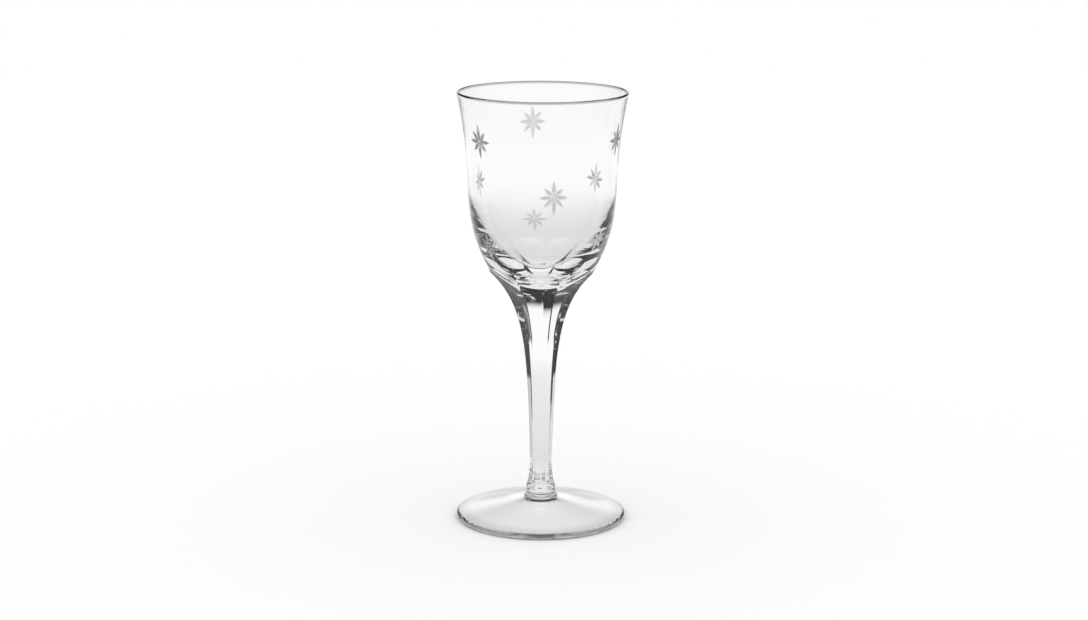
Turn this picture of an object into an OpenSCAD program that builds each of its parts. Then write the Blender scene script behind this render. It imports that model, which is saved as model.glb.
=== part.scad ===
/* [Overall] */
// Height from the table to the lip
glass_h = 190; // [184:1:198]
// Height of the bowl, from the lip down to the edge of its seat on the stem
bowl_h = 75; // [71:1:79]
// Height of the foot at the stem
foot_h = 9.2; // [8.4:0.1:10.4]

/* [Bowl] */
// Outside diameter at the lip
rim_d = 74.3; // [70:0.1:78]
// Outside diameter at the edge of the seat
seat_d = 49.2; // [47:0.1:51]
// Lean of the wall at the lip, in degrees from upright
rim_lean = 11.8; // [9:0.1:13]
// Lean of the wall where it turns in over the seat, in degrees from upright
base_lean = 26; // [22:0.5:30]
// Thickness of the rounded lip
lip_t = 1.4; // [1:0.1:1.8]
// Diameter of the cavity at the belly
cavity_d = 59.8; // [58:0.1:60.4]
// Height of the belly above the edge of the seat
belly_h = 31; // [28:0.5:34]
// Depth of the rounded bottom below the edge of the seat
seat_sag = 9.5; // [8:0.1:11]
// Solid glass between the rounded bottom and the floor of the cavity
base_t = 3; // [2.4:0.1:5]

/* [Stem] */
// Number of flat cuts round the stem
facets = 7; // [6:1:8]
// Turn of the front cut from straight ahead, in degrees
facet_turn = -4.5; // [-20:0.5:20]
// Distance from the axis to the middle of a flat, at the foot
waist_a = 4.1; // [3.6:0.1:4.6]
// Taper of the stem, per millimetre of height
stem_taper = 0.02; // [0.015:0.001:0.025]
// Height in which the trumpet grows by a factor of e
trumpet_len = 15.5; // [14.5:0.1:16.5]
// How far the flats would stand outside the edge of the seat, so that each ends in an arch
arch_rise = 0.4; // [0.2:0.1:0.8]
// Height above the foot where the stem starts to sweep out to its collar
sweep_h = 17.8; // [16:0.1:19]
// Radius of the sweep, as of the cutting wheel
sweep_r = 50; // [44:1:60]
// Diameter of the ring that is left uncut above the collar's skirt
ring_d = 13; // [12.6:0.1:13.6]
// Diameter of the collar where it sits on the foot
collar_d = 15; // [14:0.1:16]

/* [Foot] */
// Diameter of the foot
foot_d = 74.9; // [70:0.1:78]
// Thickness of the foot at its rounded edge
edge_t = 2.8; // [2.4:0.1:3.4]
// Height of the hollow under the foot
hollow_h = 6.2; // [5.4:0.1:6.8]
// Diameter of the polished hollow that is ground under the stem
pontil_d = 13; // [11:0.5:15]
// Depth of the polished hollow
pontil_depth = 0.6; // [0.4:0.1:0.8]

/* [Hidden] */
$fn = 180;
crystal = [0.87, 0.91, 0.92];
clear_of = 1;

rim_r = rim_d / 2;
seat_r = seat_d / 2;
seat_z = glass_h - bowl_h;
seat_ball_r = (seat_r * seat_r + seat_sag * seat_sag) / (2 * seat_sag);
seat_ball_z = seat_z - seat_sag + seat_ball_r;

lip_r = lip_t / 2;
lip_z = glass_h - lip_r;
rim_reach = 0.564 * bowl_h;
base_reach = 0.37 * bowl_h;
belly_z = seat_z + belly_h;
belly_lean = 4;
upper_lean = rim_lean + 2;
upper_reach = 20;
over_belly = 14.5;
under_belly = 19;
floor_z = seat_z - seat_sag + base_t;
floor_reach = 0.5 * cavity_d / 2;
wall_steps = 28;
lip_steps = 6;

// The blank that is cut stands a little outside the corners between the flats
corner = 1 / cos(180 / facets);
blank_over = 1.005 * corner;
trumpet_a = seat_r + arch_rise - waist_a - stem_taper * (seat_z - foot_h);
facet_steps = 44;
// Under the seat the blank goes on along the wall, and eases away from it
wall_ease = 100;
// Each flat runs out of the glass on the wheel's edge above the collar
low_run_z = foot_h + 7.3;
low_run_r = 6;
ring_r = ring_d / 2;
ring_z = foot_h + 3.8;
collar_r = collar_d / 2;
collar_z = foot_h + 6;
collar_steps = 14;

foot_r = foot_d / 2;
edge_r = edge_t / 2;
edge_in = foot_r - edge_r;
shoulder = [collar_r + 4.5, foot_h - 2];
brow = [0.64 * foot_r, 0.6 * foot_h];
ring_w = 1.2;
hollow_side = [0.64 * foot_r, 0.42 * hollow_h];
hollow_top = [0.36 * foot_r, 0.74 * hollow_h];
foot_steps = 18;
pontil_r = pontil_d / 2;
pontil_ball_r = (pontil_r * pontil_r + pontil_depth * pontil_depth) / (2 * pontil_depth);

function lean(angle, reach) = reach * [sin(angle), cos(angle)];

function cubic(p, t) =
    pow(1 - t, 3) * p[0] + 3 * t * pow(1 - t, 2) * p[1]
    + 3 * t * t * (1 - t) * p[2] + pow(t, 3) * p[3];

function curve(p, steps) = [for (i = [0 : steps]) cubic(p, i / steps)];

function after_first(list) = [for (i = [1 : len(list) - 1]) list[i]];

// The wall's outside, from the edge of the seat up to the lip
function bowl_outside() =
    let (low = [seat_r, seat_z], high = [rim_r, lip_z])
    curve([low, low + lean(base_lean, base_reach), high - lean(rim_lean, rim_reach), high], wall_steps);

function lip_round() =
    [for (i = [1 : lip_steps - 1]) let (a = 180 * i / lip_steps)
        [rim_r - lip_r + lip_r * cos(a), lip_z + lip_r * sin(a)]];

// The cavity, from the lip down the wall to the belly, and on to the middle of its floor
function cavity() =
    let (
        high = [rim_r - lip_t, lip_z],
        belly = [cavity_d / 2, belly_z],
        upper = [high, high - lean(upper_lean, upper_reach), belly + lean(belly_lean, over_belly), belly],
        lower = [belly, belly - lean(belly_lean, under_belly), [floor_reach, floor_z], [0, floor_z]]
    )
    concat(curve(upper, wall_steps / 2), after_first(curve(lower, wall_steps / 2)));

// Distance from the axis to the middle of a flat, before it runs out at its foot
function flat_a(z) =
    waist_a + stem_taper * (z - foot_h)
    + trumpet_a * exp((z - seat_z) / trumpet_len)
    + pow(max(0, foot_h + sweep_h - z), 2) / (2 * sweep_r);

function cut_a(z) = flat_a(z) + pow(max(0, low_run_z - z), 2) / (2 * low_run_r);

function wall_r(z) =
    let (under = seat_z - z)
    seat_r - under * tan(base_lean) + under * under / wall_ease;

function blank_r(z) = min(blank_over * flat_a(z), wall_r(z));

// A ring over a skirt, each a parabola
function collar_r_at(z) =
    let (
        rise = max(0, z - ring_z) / (collar_z - ring_z),
        drop = max(0, ring_z - z) / (ring_z - foot_h)
    )
    ring_r + rise * rise * (blank_r(collar_z) - ring_r) + drop * drop * (collar_r - ring_r);

// Steps are closer together near both ends, where the stem flares
function stem_z(i, low, high) = low + (high - low) * (1 - cos(180 * i / facet_steps)) / 2;

function collar_outside() =
    [for (i = [0 : collar_steps]) let (z = foot_h + (collar_z - foot_h) * i / collar_steps)
        [collar_r_at(z), z]];

function stem_outside() =
    [for (i = [1 : facet_steps]) let (z = stem_z(i, collar_z, seat_z)) [blank_r(z), z]];

// The rounded bottom of the blown bubble, with all the room above it
module seat_form() {
    translate([0, 0, seat_ball_z]) sphere(r = seat_ball_r);
    translate([0, 0, seat_ball_z]) cylinder(r = rim_d, h = glass_h);
}

module bowl() {
    under_seat = seat_z - seat_sag - clear_of;
    color(crystal)
    intersection() {
        rotate_extrude()
            polygon(concat([[0, under_seat], [seat_r, under_seat]], bowl_outside(), lip_round(), cavity()));
        seat_form();
    }
}

// The wheel's path along one flat, with the glass that it takes away
module flat_cut() {
    rotate([90, 0, 0])
        linear_extrude(height = seat_d, center = true)
            polygon(concat(
                [for (i = [0 : facet_steps]) let (z = stem_z(i, ring_z, seat_z)) [cut_a(z), z]],
                [[seat_d, seat_z], [seat_d, ring_z]]
            ));
}

module stem() {
    color(crystal)
    difference() {
        rotate_extrude() polygon(concat([[0, foot_h]], collar_outside(), stem_outside(), [[0, seat_z]]));
        for (i = [0 : facets - 1])
            rotate(facet_turn - 90 + i * 360 / facets) flat_cut();
        seat_form();
    }
}

// A shallow cone on a narrow ring, with a round edge and a hollow underneath
module foot() {
    top = curve([[collar_r, foot_h], shoulder, brow, [edge_in, edge_t]], foot_steps);
    edge = [for (i = [1 : lip_steps]) let (a = 90 - 180 * i / lip_steps)
        [edge_in + edge_r * cos(a), edge_r + edge_r * sin(a)]];
    under = curve([[edge_in - ring_w, 0], hollow_side, hollow_top, [pontil_r, hollow_h]], foot_steps);
    color(crystal)
    difference() {
        rotate_extrude() polygon(concat([[0, foot_h]], top, edge, under, [[0, hollow_h]]));
        translate([0, 0, hollow_h + pontil_depth - pontil_ball_r]) sphere(r = pontil_ball_r);
    }
}

bowl();
stem();
foot();
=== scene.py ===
from math import cos, pi, radians, sin, tan

import bpy
import numpy as np
from mathutils import Matrix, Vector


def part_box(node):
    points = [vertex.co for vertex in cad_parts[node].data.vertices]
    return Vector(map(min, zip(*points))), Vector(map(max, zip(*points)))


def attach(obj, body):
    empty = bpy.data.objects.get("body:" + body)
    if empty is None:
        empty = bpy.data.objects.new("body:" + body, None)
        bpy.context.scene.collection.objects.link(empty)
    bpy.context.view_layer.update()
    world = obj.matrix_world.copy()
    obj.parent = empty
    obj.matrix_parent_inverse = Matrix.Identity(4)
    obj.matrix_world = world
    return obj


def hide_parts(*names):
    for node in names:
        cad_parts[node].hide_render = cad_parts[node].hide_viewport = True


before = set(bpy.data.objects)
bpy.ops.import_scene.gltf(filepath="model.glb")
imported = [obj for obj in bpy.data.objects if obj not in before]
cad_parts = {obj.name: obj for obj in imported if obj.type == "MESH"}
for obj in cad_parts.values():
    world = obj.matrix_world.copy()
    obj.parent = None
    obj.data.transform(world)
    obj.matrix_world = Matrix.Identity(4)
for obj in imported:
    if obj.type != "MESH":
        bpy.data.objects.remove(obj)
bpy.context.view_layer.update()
scene = bpy.context.scene
mm = 0.001

# The view. The camera stands a little over a metre in front of the glass and looks
# down on it by twelve degrees, through a long lens.
photo_w = 1088
focal_px = 2486
sensor_w = 36
eye = (0.0010, -1.0652, 0.3263)
look_down = 0.2151
tilt = 0.0052

camera_data = bpy.data.cameras.new("camera")
camera_data.sensor_width = sensor_w
camera_data.lens = focal_px * sensor_w / photo_w
camera = bpy.data.objects.new("camera", camera_data)
camera.matrix_world = (
    Matrix.Translation(eye)
    @ Matrix.Rotation(pi / 2 - look_down, 4, "X")
    @ Matrix.Rotation(tilt, 4, "Z")
)
scene.collection.objects.link(camera)
scene.camera = camera
scene.view_settings.view_transform = "Standard"


# The studio. A white sheet runs under the glass and up behind it, and the rest of the room
# is dark: clear glass shows its edges only where it bends that dark room into view.
class Wire:
    """A socket of a node tree. Arithmetic on it adds Math nodes to the tree."""

    def __init__(self, tree, socket=None):
        self.tree = tree
        self.socket = socket

    def add(self, kind, settings=(), sockets=(), out=0):
        node = self.tree.nodes.new(kind)
        for name, value in dict(settings).items():
            setattr(node, name, value)
        for key, value in dict(sockets).items():
            wires = value if isinstance(value, list) else [value]
            for wire in wires:
                if isinstance(wire, Wire):
                    self.tree.links.new(wire.socket, node.inputs[key])
                else:
                    node.inputs[key].default_value = wire
        return Wire(self.tree, node.outputs[out] if node.outputs else None)

    def more(self, out):
        return Wire(self.tree, self.socket.node.outputs[out])

    def math(self, operation, *others):
        values = dict(enumerate((self, *others)))
        return self.add("ShaderNodeMath", {"operation": operation}, values)

    def ramp(self, low, high):
        """0 below low and 1 above high, with a smooth step between them."""
        ends = {"Value": self, "From Min": low, "From Max": high}
        return self.add("ShaderNodeMapRange", {"interpolation_type": "SMOOTHSTEP"}, ends)

    def mixed(self, share, first, second):
        """The first colour, and as much of the second as share says."""
        colours = {0: share, 6: first, 7: second}
        return self.add("ShaderNodeMix", {"data_type": "RGBA"}, colours, out=2)

    def __add__(self, other):
        return self.math("ADD", other)

    def __radd__(self, other):
        return self.math("ADD", other)

    def __sub__(self, other):
        return self.math("SUBTRACT", other)

    def __rsub__(self, other):
        return self.add("ShaderNodeMath", {"operation": "SUBTRACT"}, {0: other, 1: self})

    def __mul__(self, other):
        return self.math("MULTIPLY", other)

    def __rmul__(self, other):
        return self.math("MULTIPLY", other)

    def __truediv__(self, other):
        return self.math("DIVIDE", other)

    def __rtruediv__(self, other):
        return self.add("ShaderNodeMath", {"operation": "DIVIDE"}, {0: other, 1: self})


floor_half = 1.6
floor_drop = 0.2 * mm
sheet_white = 0.96
# Painted light and shade, as if the light came from behind: the sheet that is seen through the glass is
# brightest far back, a little brighter under the foot, and darker on the camera's side, where a painted
# shadow of the glass runs
back_shade = 0.8
back_ends = (0.14, 0.7)
under_light = 0.55
under_ends = (0.04, 0.1)
front_shade = 0.9
front_ends = (-0.2, -0.05)
shadow_heading = radians(137)
shadow_shade = 0.8
shadow_starts = (0.06, 0.14)
shadow_sides = (0.03, 0.09)

floor_mesh = bpy.data.meshes.new("floor")
floor_corners = [(-1, -1), (1, -1), (1, 1), (-1, 1)]
floor_points = [(x * floor_half, y * floor_half, -floor_drop) for x, y in floor_corners]
floor_mesh.from_pydata(floor_points, [], [range(4)])
floor = bpy.data.objects.new("floor", floor_mesh)
scene.collection.objects.link(floor)
sheet_paper = bpy.data.materials.new("sheet_paper")
sheet_paper.use_nodes = True
paper = Wire(sheet_paper.node_tree)
sheet_paper.node_tree.nodes.clear()
dull = paper.add("ShaderNodeBsdfDiffuse", (), {"Color": (*[sheet_white] * 3, 1)})
spot = paper.add("ShaderNodeSeparateXYZ", (), {0: paper.add("ShaderNodeTexCoord", out="Object")})
behind = spot.more(1)
away = (spot * spot + behind * behind).math("SQRT")
# Painted light under the foot and painted shade and shadow, set by where on the sheet a point lies
under_foot = under_light * (1 - away.ramp(*under_ends))
back = back_shade + (1 - back_shade) * behind.ramp(*back_ends).math("MAXIMUM", under_foot)
front = front_shade + (1 - front_shade) * behind.ramp(*front_ends)
along_shadow = spot * sin(shadow_heading) + behind * cos(shadow_heading)
beside = (spot * cos(shadow_heading) - behind * sin(shadow_heading)).math("ABSOLUTE")
in_shadow = along_shadow.ramp(*shadow_starts) * (1 - beside.ramp(*shadow_sides))
shadow = 1 - (1 - shadow_shade) * in_shadow
bright = paper.add("ShaderNodeEmission", (), {"Color": back * front * shadow, "Strength": 1.0})
path = paper.add("ShaderNodeLightPath", out="Is Transmission Ray")
through_glass = path.math("MAXIMUM", path.more("Is Glossy Ray"))
paper.add("ShaderNodeOutputMaterial", (), {
    "Surface": paper.add("ShaderNodeMixShader", (), {0: through_glass, 1: dull, 2: bright})
})
floor_mesh.materials.append(sheet_paper)

ambient = 1.05
dark_room = 0.03
sheet_top = (0.24, 0.48)
sheet_side = (0.93, 0.953)
horizon = (-0.05, 0.005)
not_zero = 0.0001

scene.world = bpy.data.worlds.new("studio")
scene.world.use_nodes = True
sky = Wire(scene.world.node_tree)
scene.world.node_tree.nodes.clear()
heading = sky.add("ShaderNodeTexCoord", out="Generated")
east = sky.add("ShaderNodeSeparateXYZ", (), {0: heading})
north, up = east.more(1), east.more(2)
level = (east * east + north * north + not_zero).math("SQRT")
sheet = (1 - up.ramp(*sheet_top)) * (north / level).ramp(*sheet_side)
far_floor = 1 - up.ramp(*horizon)
seen = dark_room + (1 - dark_room) * sheet.math("MAXIMUM", far_floor)
path = sky.add("ShaderNodeLightPath", out="Is Camera Ray")
soft = path.more("Is Diffuse Ray") * ambient
light = seen.math("MAXIMUM", path).math("MAXIMUM", soft)
background = sky.add("ShaderNodeBackground", (), {"Color": (1, 1, 1, 1), "Strength": light})
sky.add("ShaderNodeOutputWorld", (), {"Surface": background})

scene.world.cycles.sampling_method = "NONE"
scene.cycles.max_bounces = 32
scene.cycles.transmission_bounces = 32
scene.cycles.glossy_bounces = 24


# The bowl. A blown bubble of clear crystal with a flared, fire-rounded lip, a wall of about
# two millimetres and a thick solid base. Its round bottom is stuck hot on the stem.
bowl_low, bowl_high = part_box("bowl")
stem_low, stem_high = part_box("stem")
rim_r = bowl_high.x
seat_r = stem_high.x
seat_z = stem_high.z
seat_pole_z = bowl_low.z
lip_r = 0.7 * mm
lip_z = bowl_high.z - lip_r
rim_lean = radians(11.8)
rim_reach = 0.564 * (bowl_high.z - seat_z)
base_lean = radians(26)
base_reach = 0.37 * (bowl_high.z - seat_z)
cavity_r = 29.9 * mm
belly_z = seat_z + 31 * mm
belly_lean = radians(4)
upper_lean = rim_lean + radians(2)
upper_reach = 20 * mm
over_belly = 14.5 * mm
under_belly = 19 * mm
cavity_floor_z = seat_pole_z + 3 * mm
cavity_floor_reach = 0.5 * cavity_r
columns = 216
seat_rows, wall_rows, lip_rows, upper_rows, lower_rows = 10, 110, 10, 50, 60
crystal_ior = 1.54
glint = 0.35
haze_scale = 90.0
haze_rough = 0.02
clear_low = (0.994, 0.991, 0.986, 1)
clear_high = (1, 0.999, 0.997, 1)
black = (0, 0, 0, 1)
# Painted shade on the bowl: its colour darkens slightly towards the thick base and strongly at the lip
base_painted_shade = 0.05
base_fade = (seat_z, seat_z + 40 * mm)
lip_painted_shade = 0.55
lip_fade = (bowl_high.z - 1.5 * mm, bowl_high.z - 0.5 * mm)


def lean(angle, reach):
    return reach * np.array([sin(angle), cos(angle)])


def cubic(points, steps):
    """Points along a cubic curve, as (radius, height) pairs."""
    t = np.linspace(0, 1, steps + 1)[:, None]
    a, b, c, d = (np.asarray(p, float) for p in points)
    return (1 - t) ** 3 * a + 3 * t * (1 - t) ** 2 * b + 3 * t * t * (1 - t) * c + t**3 * d


def arc(centre, radius, start, end, steps):
    angles = np.radians(np.linspace(start, end, steps + 1))
    return np.array(centre) + radius * np.stack([np.cos(angles), np.sin(angles)], 1)


def cap(edge_r, edge_z, pole_z, steps):
    """A part of a ball, from its pole on the axis out to its edge."""
    radii = np.linspace(0, edge_r, steps + 1)
    rise = edge_z - pole_z
    ball_r = (edge_r**2 + rise**2) / (2 * abs(rise))
    depth = ball_r - np.sqrt(ball_r**2 - radii**2)
    return np.stack([radii, pole_z + np.sign(rise) * depth], 1)


def turned(name, bands):
    """A closed solid turned about the axis. Each band is a run of (radius, height) points with its
    material. The first starts and the last ends on the axis, and each starts where the last ended."""
    outline = np.concatenate([bands[0][0][:1]] + [points[1:] for points, _ in bands])
    kinds = sum(([kind] * (len(points) - 1) for points, kind in bands), [])
    angles = np.linspace(0, 2 * pi, columns, endpoint=False)
    ring = np.stack([np.cos(angles), np.sin(angles)], 1)
    inner = outline[1:-1]
    corners = np.concatenate([
        [[0, 0, outline[0][1]]],
        np.concatenate([np.column_stack([r * ring, np.full(columns, z)]) for r, z in inner]),
        [[0, 0, outline[-1][1]]],
    ])
    last = len(corners) - 1
    faces, face_kinds = [], []
    for row, kind in enumerate(kinds):
        for i in range(columns):
            j = (i + 1) % columns
            low, high = 1 + (row - 1) * columns, 1 + row * columns
            if row == 0:
                face = (0, high + j, high + i)
            elif row == len(kinds) - 1:
                face = (low + i, low + j, last)
            else:
                face = (low + i, low + j, high + j, high + i)
            faces.append(face)
            face_kinds.append(kind)
    mesh = bpy.data.meshes.new(name)
    mesh.from_pydata(corners.tolist(), [], faces)
    materials = list(dict.fromkeys(kinds))
    for material in materials:
        mesh.materials.append(material)
    mesh.polygons.foreach_set("material_index", [materials.index(kind) for kind in face_kinds])
    mesh.shade_smooth()
    solid = bpy.data.objects.new(name, mesh)
    scene.collection.objects.link(solid)
    return solid


def crystal(name, ripple_scale, ripple_height, painted_shade_of):
    """Clear crystal. The ripple is the slight unevenness that working it hot leaves, and the last
    argument gives how much painted shade darkens its colour, from its radius and height."""
    material = bpy.data.materials.new(name)
    material.use_nodes = True
    tree = material.node_tree
    shader = tree.nodes["Principled BSDF"]
    shader.inputs["IOR"].default_value = crystal_ior
    shader.inputs["Transmission Weight"].default_value = 1.0
    shader.inputs["Specular Tint"].default_value = (glint, glint, glint, 1)
    at = Wire(tree).add("ShaderNodeTexCoord", out="Object")
    waves = at.add("ShaderNodeTexNoise", (), {"Vector": at, "Scale": ripple_scale, "Detail": 2.0})
    haze = at.add("ShaderNodeTexNoise", (), {"Vector": at, "Scale": haze_scale, "Detail": 3.0})
    clear = at.mixed(haze, clear_low, clear_high)
    x = at.add("ShaderNodeSeparateXYZ", (), {0: at})
    y, z = x.more(1), x.more(2)
    # Painted shade: the colour is mixed towards black as much as the shade function says
    painted_shade = painted_shade_of((x * x + y * y).math("SQRT"), z)
    tint = at.mixed(painted_shade, clear, black)
    bump = at.add("ShaderNodeBump", (), {"Height": waves, "Distance": ripple_height})
    for socket, wire in (("Base Color", tint), ("Roughness", haze * haze_rough), ("Normal", bump)):
        tree.links.new(wire.socket, shader.inputs[socket])
    return material


def see_through(name):
    """The face where two gathers are fused. The glass is one there, so nothing shows."""
    material = bpy.data.materials.new(name)
    material.use_nodes = True
    material.node_tree.nodes["Principled BSDF"].inputs["Alpha"].default_value = 0.0
    return material


def bowl_painted_shade(radius, height):
    """Painted shade, a little darker towards the thick base and much darker at the lip."""
    base = 1 - height.ramp(*base_fade)
    return base_painted_shade * base + lip_painted_shade * height.ramp(*lip_fade)


blown_crystal = crystal("blown_crystal", 60.0, 0.03 * mm, bowl_painted_shade)
fused_seat = see_through("fused_seat")
seat_edge = (seat_r, seat_z)
lip_out = (rim_r, lip_z)
lip_in = (rim_r - 2 * lip_r, lip_z)
belly = (cavity_r, belly_z)
outside = (
    seat_edge,
    seat_edge + lean(base_lean, base_reach),
    lip_out - lean(rim_lean, rim_reach),
    lip_out,
)
upper = (
    lip_in,
    lip_in - lean(upper_lean, upper_reach),
    belly + lean(belly_lean, over_belly),
    belly,
)
lower = (
    belly,
    belly - lean(belly_lean, under_belly),
    (cavity_floor_reach, cavity_floor_z),
    (0, cavity_floor_z),
)
bowl = turned("crystal_bowl", [
    (cap(seat_r, seat_z, seat_pole_z, seat_rows), fused_seat),
    (cubic(outside, wall_rows), blown_crystal),
    (arc((rim_r - lip_r, lip_z), lip_r, 0, 180, lip_rows), blown_crystal),
    (cubic(upper, upper_rows), blown_crystal),
    (cubic(lower, lower_rows), blown_crystal),
])

# The stars. Eight V-shaped strokes of a stone wheel make each star on the outside of the wall,
# and the strokes stay as the stone leaves them, white and frosted. Three stars make a row.
# Each row has its height, and the turn of its first star from straight ahead
star_rows = (
    (171.0 * mm, radians(-52.0)),
    (148.7 * mm, radians(8.7)),
    (124.5 * mm, radians(-52.0)),
)
stroke_steps = 14
past_middle = 0.02
swell_lean = 0.9
rays = 8
wall_resolution = 200
wall_steps = 2000
merge_within = 1e-7
sharp_from = radians(20)
frost_low = (0.95, 0.95, 0.95, 1)
frost_high = (1, 1, 1, 1)
grain_scale = 2500.0
grain_height = 0.02 * mm
frost_rough = 0.18
grain_rough = 0.14
star_sizes = {
    "Along Wall": 0.0,
    "Turn": 0.0,
    "Stars": 3,
    "Upright Ray": 8.0 * mm,
    "Level Ray": 6.9 * mm,
    "Slant Ray": 6.4 * mm,
    "Ray Width": 2.3 * mm,
    "Ray Depth": 0.3 * mm,
    "Lift": 0.06 * mm,
}


def sized_tree(name, sizes):
    """A Geometry Nodes tree with a named input for each size, and the inputs as wires."""
    tree = bpy.data.node_groups.new(name, "GeometryNodeTree")
    tree.interface.new_socket("Geometry", in_out="OUTPUT", socket_type="NodeSocketGeometry")
    for label, value in sizes.items():
        kind = "NodeSocketInt" if isinstance(value, int) else "NodeSocketFloat"
        tree.interface.new_socket(label, in_out="INPUT", socket_type=kind)
    group = tree.nodes.new("NodeGroupInput")
    return Wire(tree), {label: Wire(tree, group.outputs[label]) for label in sizes}


def grown(name, tree, sizes):
    """Runs a tree with these sizes and keeps what it makes as a plain mesh."""
    solid = bpy.data.objects.new(name, bpy.data.meshes.new(name))
    scene.collection.objects.link(solid)
    modifier = solid.modifiers.new("form", "NODES")
    modifier.node_group = tree
    for item in tree.interface.items_tree:
        if item.in_out == "INPUT":
            modifier[item.identifier] = sizes[item.name]
    evaluated = solid.evaluated_get(bpy.context.evaluated_depsgraph_get())
    mesh = bpy.data.meshes.new_from_object(evaluated)
    solid.modifiers.clear()
    solid.data = mesh
    return solid


def frost(name):
    """Crystal ground by a stone wheel: a fine grain that scatters the light."""
    material = bpy.data.materials.new(name)
    material.use_nodes = True
    tree = material.node_tree
    shader = tree.nodes["Principled BSDF"]
    shader.inputs["IOR"].default_value = crystal_ior
    shader.inputs["Transmission Weight"].default_value = 1.0
    at = Wire(tree).add("ShaderNodeTexCoord", out="Object")
    grain = at.add("ShaderNodeTexNoise", (), {"Vector": at, "Scale": grain_scale, "Detail": 3.0})
    bump = at.add("ShaderNodeBump", (), {"Height": grain, "Distance": grain_height})
    shade = at.mixed(grain, frost_low, frost_high)
    rough = frost_rough + grain_rough * grain
    for socket, wire in (("Base Color", shade), ("Roughness", rough), ("Normal", bump)):
        tree.links.new(wire.socket, shader.inputs[socket])
    return material


wheel_frost = frost("wheel_frost")
sheet_of, size = sized_tree("star_row", star_sizes)
# One stroke: a three-sided tube that is widest in the middle and comes to a point at both ends
stroke = sheet_of.add(
    "GeometryNodeMeshGrid",
    (),
    {"Size X": 1.0, "Size Y": 3.0, "Vertices X": stroke_steps + 1, "Vertices Y": 4},
)
place = sheet_of.add("ShaderNodeSeparateXYZ", (), {0: sheet_of.add("GeometryNodeInputPosition")})
along = place + 0.5
side = (place.more(1) + 1.5).math("ROUND")
swell = (along.math("POWER", swell_lean) * pi).math("SINE")
third = 2 * pi / 3
across = ((side - 1) * third).math("SINE") / sin(third)
below = 1 - (side - 1).math("ABSOLUTE").math("MINIMUM", 1.0)
stroke_at = sheet_of.add("ShaderNodeCombineXYZ", (), {
    0: along * (1 + past_middle) - past_middle,
    1: across * swell * size["Ray Width"] / 2,
    2: size["Lift"] - below * swell * (size["Ray Depth"] + size["Lift"]),
})
stroke = stroke.add("GeometryNodeSetPosition", (), {"Geometry": stroke, "Position": stroke_at})
stroke = stroke.add("GeometryNodeMergeByDistance", (), {"Geometry": stroke, "Distance": merge_within})

# Eight strokes round a point make a star that lies flat
ray_points = sheet_of.add("GeometryNodeMeshLine", (), {"Count": rays, "Offset": (0, 0, 0)})
ray = sheet_of.add("GeometryNodeInputIndex")
heading = ray * (2 * pi / rays)
level = (heading * 2).math("COSINE")
ray_length = size["Slant Ray"] + level.math("MAXIMUM", 0.0) * (size["Level Ray"] - size["Slant Ray"])
ray_length = ray_length + (0 - level).math("MAXIMUM", 0.0) * (size["Upright Ray"] - size["Slant Ray"])
star = sheet_of.add("GeometryNodeInstanceOnPoints", (), {
    "Points": ray_points,
    "Instance": stroke,
    "Rotation": sheet_of.add("ShaderNodeCombineXYZ", (), {2: heading}),
    "Scale": sheet_of.add("ShaderNodeCombineXYZ", (), {0: ray_length, 1: 1.0, 2: 1.0}),
})
star = star.add("GeometryNodeRealizeInstances", (), {"Geometry": star})

# The flat star is laid on the outside of the wall: x goes round it, y goes up it, z out of it
wall = sheet_of.add("GeometryNodeCurvePrimitiveBezierSegment", (), {
    "Resolution": wall_resolution,
    "Start": (outside[0][0], 0, outside[0][1]),
    "Start Handle": (outside[1][0], 0, outside[1][1]),
    "End Handle": (outside[2][0], 0, outside[2][1]),
    "End": (outside[3][0], 0, outside[3][1]),
})
flat = sheet_of.add("ShaderNodeSeparateXYZ", (), {0: sheet_of.add("GeometryNodeInputPosition")})
spot = sheet_of.add(
    "GeometryNodeSampleCurve",
    {"mode": "LENGTH", "use_all_curves": True},
    {"Curves": wall, "Length": size["Along Wall"] + flat.more(1)},
    "Position",
)
foot_of = sheet_of.add("ShaderNodeSeparateXYZ", (), {0: spot})
slope = sheet_of.add("ShaderNodeSeparateXYZ", (), {0: spot.more("Tangent")})
reach = foot_of + flat.more(2) * slope.more(2)
round_wall = flat / foot_of
on_wall = sheet_of.add("ShaderNodeCombineXYZ", (), {
    0: reach * round_wall.math("SINE"),
    1: 0 - reach * round_wall.math("COSINE"),
    2: foot_of.more(2) - flat.more(2) * slope,
})
star = star.add("GeometryNodeSetPosition", (), {"Geometry": star, "Position": on_wall})

# Copies of the bent star stand round the axis
star_points = sheet_of.add("GeometryNodeMeshLine", (), {"Count": size["Stars"], "Offset": (0, 0, 0)})
turn = size["Turn"] + sheet_of.add("GeometryNodeInputIndex") * (2 * pi) / size["Stars"]
row = sheet_of.add("GeometryNodeInstanceOnPoints", (), {
    "Points": star_points,
    "Instance": star,
    "Rotation": sheet_of.add("ShaderNodeCombineXYZ", (), {2: turn}),
})
row = row.add("GeometryNodeRealizeInstances", (), {"Geometry": row})
row = row.add("GeometryNodeSetMaterial", (), {"Geometry": row, "Material": wheel_frost})
row.add("NodeGroupOutput", (), {0: row})

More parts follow.
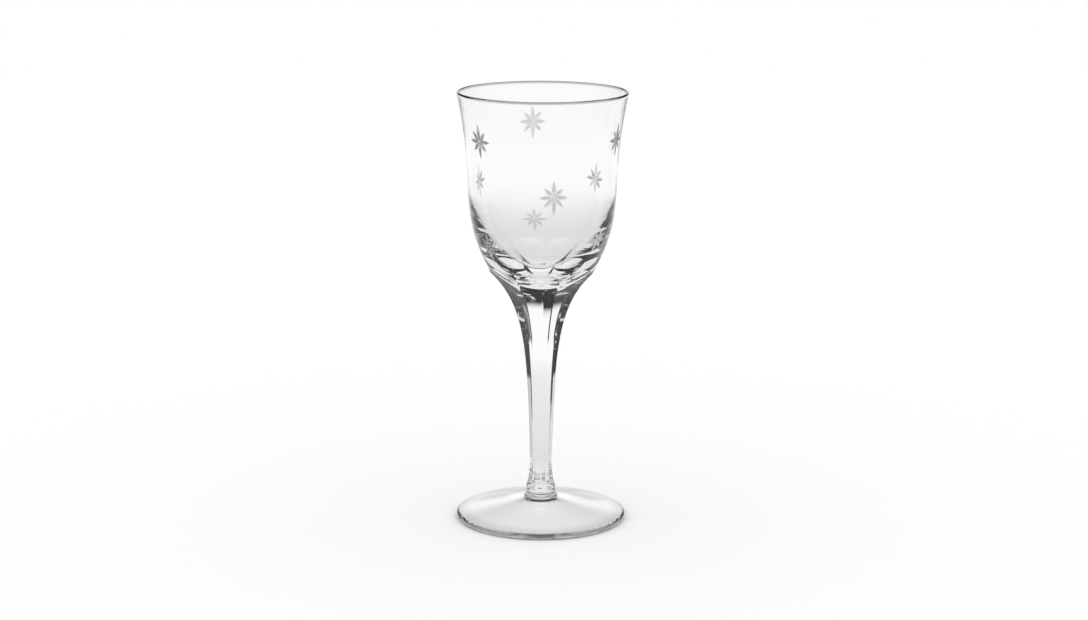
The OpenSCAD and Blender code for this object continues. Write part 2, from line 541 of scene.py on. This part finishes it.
wall_points = cubic(outside, wall_steps)
wall_lengths = np.concatenate([[0], np.cumsum(np.linalg.norm(np.diff(wall_points, axis=0), axis=1))])
for height, row_turn in star_rows:
    star_sizes["Along Wall"] = float(np.interp(height, wall_points[:, 1], wall_lengths))
    star_sizes["Turn"] = row_turn
    cutters = grown("star_strokes", sheet_of.tree, star_sizes)
    cut = bowl.modifiers.new("stars", "BOOLEAN")
    cut.operation = "DIFFERENCE"
    cut.solver = "MANIFOLD"
    cut.material_mode = "TRANSFER"
    cut.object = cutters
    cut_bowl = bowl.evaluated_get(bpy.context.evaluated_depsgraph_get())
    bowl.modifiers.clear()
    bowl.data = bpy.data.meshes.new_from_object(cut_bowl)
    bpy.data.objects.remove(cutters)
bowl.data.set_sharp_from_angle(angle=sharp_from)
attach(bowl, "root")
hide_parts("bowl")

# The stem. A drawn rod of crystal that opens into a trumpet under the bowl. Seven flats are
# cut along it on a wheel and polished, and a round collar is left uncut above the foot.
foot_h = stem_low.z
waist = 4.1 * mm
taper = 0.02
arch_rise = 0.4 * mm
stem_sizes = {
    "Flats": 7,
    "Front Flat": radians(-4.5 - 90),
    "Foot Height": foot_h,
    "Seat Height": seat_z,
    "Seat Radius": seat_r,
    "Seat Pole": seat_pole_z,
    "Wall Slope": tan(base_lean),
    "Wall Ease": 100 * mm,
    "Waist": waist,
    "Taper": taper,
    "Trumpet": seat_r + arch_rise - waist - taper * (seat_z - foot_h),
    "Trumpet Length": 15.5 * mm,
    "Sweep Height": 17.8 * mm,
    "Sweep Radius": 50 * mm,
    "Low Run Height": foot_h + 7.3 * mm,
    "Low Run Radius": 6 * mm,
    "Arris Radius": 1.0 * mm,
    "Collar Height": foot_h + 6 * mm,
    "Ring Height": foot_h + 3.8 * mm,
    "Ring Radius": 6.5 * mm,
    "Collar Radius": 7.5 * mm,
}
round_sides = 126
arris_points = 6
stem_rows = 300
cap_rings = 10
past_ends = 1 * mm
rod_over = 1.005
arris_from = radians(4)
# Painted shade on the stem: its colour darkens towards the lower end, over the collar
collar_painted_shade = 0.12
collar_fade = (15 * mm, 45 * mm)


def stem_painted_shade(radius, height):
    """Painted shade, darker at the lower end, over the collar."""
    return collar_painted_shade * (1 - height.ramp(*collar_fade))


polished_flats = crystal("polished_flats", 120.0, 0.008 * mm, stem_painted_shade)
drawn_crystal = crystal("drawn_crystal", 90.0, 0.02 * mm, stem_painted_shade)
fused_collar = see_through("fused_collar")
stem_of, size = sized_tree("cut_stem", stem_sizes)
corner = 1 / (pi / size["Flats"]).math("COSINE")


def square(wire):
    return wire * wire


def over(wire):
    """What a value has above nothing."""
    return wire.math("MAXIMUM", 0.0)


def flat_reach(z):
    """From the axis to the middle of a flat, before it runs out at its ends."""
    trumpet = size["Trumpet"] * ((z - size["Seat Height"]) / size["Trumpet Length"]).math("EXPONENT")
    sweep = square(over(size["Foot Height"] + size["Sweep Height"] - z)) / (size["Sweep Radius"] * 2)
    return size["Waist"] + size["Taper"] * (z - size["Foot Height"]) + trumpet + sweep


def flats_plan(x, y, z):
    """Seven flats, which run out above the collar, with a small round where two of them meet."""
    low_run = square(over(size["Low Run Height"] - z)) / (size["Low Run Radius"] * 2)
    middle_r = (flat_reach(z) + low_run - size["Arris Radius"]) * corner
    step = (y.math("ARCTAN2", x) * size["Flats"] * (arris_points / (2 * pi))).math("ROUND")
    arris = (step / arris_points).math("FLOOR")
    part = (step - arris * arris_points) * (2 / (arris_points - 1)) - 1
    middle = arris * (2 * pi) / size["Flats"]
    bend = middle + part * pi / size["Flats"]
    flat_x = middle_r * middle.math("COSINE") + size["Arris Radius"] * bend.math("COSINE")
    flat_y = middle_r * middle.math("SINE") + size["Arris Radius"] * bend.math("SINE")
    return flat_x, flat_y


def rod_reach(z):
    """The round rod that is cut, a little outside the corners, until it meets the wall of the bowl."""
    under_seat = size["Seat Height"] - z
    wall = size["Seat Radius"] - under_seat * size["Wall Slope"] + square(under_seat) / size["Wall Ease"]
    return (flat_reach(z) * corner * rod_over).math("MINIMUM", wall)


def blank_plan(x, y, z):
    """The rod with the ring and the skirt of its collar, round about the axis."""
    rise = over(z - size["Ring Height"]) / (size["Collar Height"] - size["Ring Height"])
    drop = over(size["Ring Height"] - z) / (size["Ring Height"] - size["Foot Height"])
    collar = size["Ring Radius"] + square(rise) * (rod_reach(size["Collar Height"]) - size["Ring Radius"])
    collar = collar + square(drop) * (size["Collar Radius"] - size["Ring Radius"])
    is_rod = z.math("GREATER_THAN", size["Collar Height"])
    blank_r = is_rod * rod_reach(z) + (1 - is_rod) * collar
    around = y.math("ARCTAN2", x)
    return blank_r * around.math("COSINE"), blank_r * around.math("SINE")


def shaped(sides, low, high, plan):
    """A rod of these sides between two heights, whose plan follows the height."""
    rod = stem_of.add("GeometryNodeMeshCylinder", {"fill_type": "TRIANGLE_FAN"}, {
        "Vertices": sides,
        "Side Segments": stem_rows,
        "Fill Segments": cap_rings,
        "Radius": 1.0,
        "Depth": high - low,
    })
    at = rod.add("ShaderNodeSeparateXYZ", (), {0: rod.add("GeometryNodeInputPosition")})
    z = at.more(2) + (low + high) / 2
    spread = (square(at) + square(at.more(1))).math("SQRT")
    plan_x, plan_y = plan(at, at.more(1), z)
    place = {0: spread * plan_x, 1: spread * plan_y, 2: z}
    moved = {"Geometry": rod, "Position": rod.add("ShaderNodeCombineXYZ", (), place)}
    return rod.add("GeometryNodeSetPosition", (), moved), rod.more("Top"), rod.more("Bottom")


blank, top, bottom = shaped(round_sides, size["Foot Height"], size["Seat Height"], blank_plan)
at = stem_of.add("ShaderNodeSeparateXYZ", (), {0: stem_of.add("GeometryNodeInputPosition")})
sag = size["Seat Height"] - size["Seat Pole"]
ball = (square(size["Seat Radius"]) + square(sag)) / (sag * 2)
dish = size["Seat Pole"] + ball - (square(ball) - square(at) - square(at.more(1))).math("SQRT")
dished = stem_of.add("ShaderNodeCombineXYZ", (), {0: at, 1: at.more(1), 2: dish})
blank = blank.add("GeometryNodeSetPosition", (), {"Geometry": blank, "Selection": top, "Position": dished})
rounded, seat_face, collar_face, flat_face = range(4)


def marked(form, kind, faces=True):
    """Writes on a form's faces which surface they are, so that it is known after the cut."""
    return form.add(
        "GeometryNodeStoreNamedAttribute",
        {"data_type": "INT", "domain": "FACE"},
        {"Geometry": form, "Selection": faces, "Name": "surface", "Value": kind},
    )


blank = marked(marked(marked(blank, rounded), seat_face, top), collar_face, bottom)
flats, _, _ = shaped(
    size["Flats"] * arris_points,
    size["Foot Height"] - past_ends,
    size["Seat Height"] + past_ends,
    flats_plan,
)
turn = stem_of.add("ShaderNodeCombineXYZ", (), {2: size["Front Flat"] + pi / size["Flats"]})
flats = marked(flats.add("GeometryNodeTransform", (), {"Geometry": flats, "Rotation": turn}), flat_face)
cut_stem = flats.add(
    "GeometryNodeMeshBoolean", {"operation": "INTERSECT", "solver": "MANIFOLD"}, {"Mesh 2": [blank, flats]}
)
cut_stem = cut_stem.add("GeometryNodeRealizeInstances", (), {"Geometry": cut_stem})
surface = stem_of.add("GeometryNodeInputNamedAttribute", {"data_type": "INT"}, {"Name": "surface"})
for kind, finish in enumerate((drawn_crystal, fused_seat, fused_collar, polished_flats)):
    is_kind = surface.math("COMPARE", kind, 0.5)
    cut_stem = cut_stem.add(
        "GeometryNodeSetMaterial", (), {"Geometry": cut_stem, "Selection": is_kind, "Material": finish}
    )
cut_stem.add("NodeGroupOutput", (), {0: cut_stem})

stem = grown("cut_stem", stem_of.tree, stem_sizes)
stem.data.materials.pop(index=0)
stem.data.shade_smooth()
stem.data.set_sharp_from_angle(angle=arris_from)
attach(stem, "root")
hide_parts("stem")

# The foot. A gather of crystal spun out to a shallow cone with a round edge. It stands on a
# narrow ring, and the pontil mark under the stem is ground to a small polished hollow.
foot_low, foot_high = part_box("foot")
foot_r = foot_high.x
collar_r = stem_sizes["Collar Radius"]
edge_r = 1.4 * mm
edge_in = foot_r - edge_r
ring_w = 1.2 * mm
hollow_h = 6.2 * mm
pontil_r = 6.5 * mm
pontil_depth = 0.6 * mm
pontil_rows, foot_rows, edge_rows = 12, 60, 16
# Painted shade on the foot: its colour darkens towards the round edge
edge_painted_shade = 0.25
edge_fade = (29 * mm, 37 * mm)


def foot_painted_shade(radius, height):
    """Painted shade, darker towards the rim."""
    return edge_painted_shade * radius.ramp(*edge_fade)


spun_crystal = crystal("spun_crystal", 70.0, 0.03 * mm, foot_painted_shade)
shoulder = (collar_r + 4.5 * mm, foot_h - 2 * mm)
brow = (0.64 * foot_r, 0.6 * foot_h)
hollow_side = (0.64 * foot_r, 0.42 * hollow_h)
hollow_top = (0.36 * foot_r, 0.74 * hollow_h)
pontil = cap(pontil_r, hollow_h, hollow_h + pontil_depth, pontil_rows)
under = cubic(((pontil_r, hollow_h), hollow_top, hollow_side, (edge_in - ring_w, 0)), foot_rows)
top = cubic(((edge_in, 2 * edge_r), brow, shoulder, (collar_r, foot_h)), foot_rows)
foot = turned("spun_foot", [
    (pontil, spun_crystal),
    (under, spun_crystal),
    (np.array([(edge_in - ring_w, 0), (edge_in, 0)]), spun_crystal),
    (arc((edge_in, edge_r), edge_r, -90, 90, edge_rows), spun_crystal),
    (top, spun_crystal),
    (np.array([(collar_r, foot_h), (collar_r / 2, foot_h), (0, foot_h)]), fused_collar),
])
foot.data.set_sharp_from_angle(angle=sharp_from)
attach(foot, "root")
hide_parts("foot")
